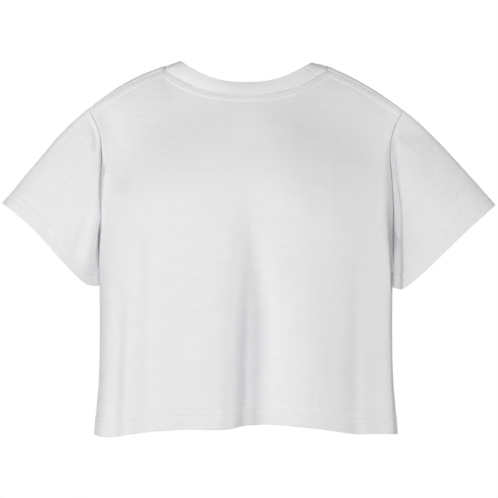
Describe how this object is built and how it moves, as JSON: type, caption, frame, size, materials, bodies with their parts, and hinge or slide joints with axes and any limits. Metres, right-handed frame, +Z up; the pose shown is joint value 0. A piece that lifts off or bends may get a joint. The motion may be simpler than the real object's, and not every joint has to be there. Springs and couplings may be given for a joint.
{
  "type": "crop top",
  "caption": "Boxy cropped T-shirt in white cotton jersey with a ribbed crew neck and short sleeves, in worn form, open at neck, hem and cuffs.",
  "frame": {"origin": "midway between the two shoulder points of the neck seam, where a wearer's neck carries the garment", "axes": "+Z up, +Y out of the back of the garment, +X to the wearer's left"},
  "size_m": [0.6305, 0.2144, 0.4785],
  "materials": {
    "cotton_jersey": "white single cotton jersey, matt, fine slubs across",
    "cotton_rib": "white fine cotton rib, matt"
  },
  "bodies": {
    "root": {"back": "cotton_jersey", "front": "cotton_jersey", "sleeve_left": "cotton_jersey", "sleeve_right": "cotton_jersey", "neckband": "cotton_rib"}
  },
  "joints": []
}
